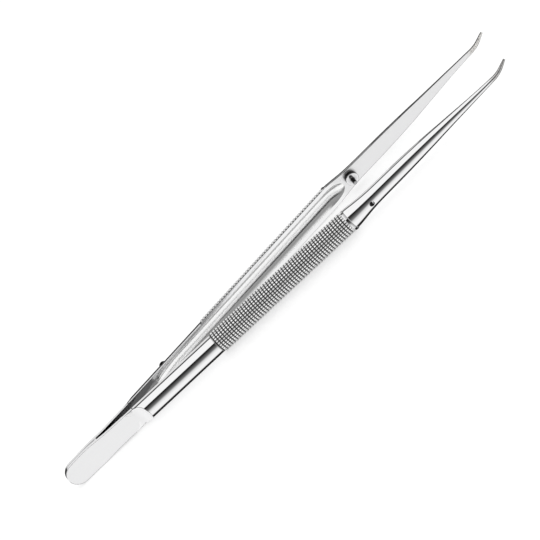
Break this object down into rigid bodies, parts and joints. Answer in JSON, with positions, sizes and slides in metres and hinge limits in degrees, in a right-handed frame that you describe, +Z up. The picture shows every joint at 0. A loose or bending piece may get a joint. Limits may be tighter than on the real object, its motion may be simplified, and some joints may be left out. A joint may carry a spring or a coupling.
{
  "type": "suture forceps",
  "caption": "Spring-armed micro suture forceps with round knurled grips, a guide pin and fine tips bent to one side.",
  "frame": {"origin": "centre of the object's box, at the height of the surface that it lies on", "axes": "+X from the welded tang to the tips, +Y from the hole-side arm to the pin-side arm, +Z up, the side to which the tips bend"},
  "size_m": [0.1798, 0.0222, 0.0085],
  "materials": {
    "arm_steel": "polished bars and channel, satin outer flats and jaw faces, knurled grips",
    "pin_steel": "turned and polished"
  },
  "bodies": {
    "tang": {"pin_side_tang": "arm_steel", "hole_side_tang": "arm_steel"},
    "pin_arm": {"pin_side_arm": "arm_steel", "guide_pin": "pin_steel", "side_stud": "pin_steel"},
    "hole_arm": {"hole_side_arm": "arm_steel"}
  },
  "joints": [
    {"name": "pin_side_flex", "type": "hinge", "parent": "tang", "child": "pin_arm", "pos_m": [-0.06794, 0.00087, 0.00425], "axis": [0, 0, -1], "range_deg": [0, 3.17], "stiffness_Nm_per_rad": 0.85},
    {"name": "hole_side_flex", "type": "hinge", "parent": "tang", "child": "hole_arm", "pos_m": [-0.06794, -0.00087, 0.00425], "axis": [0, 0, 1], "range_deg": [0, 3.17], "stiffness_Nm_per_rad": 0.85}
  ]
}
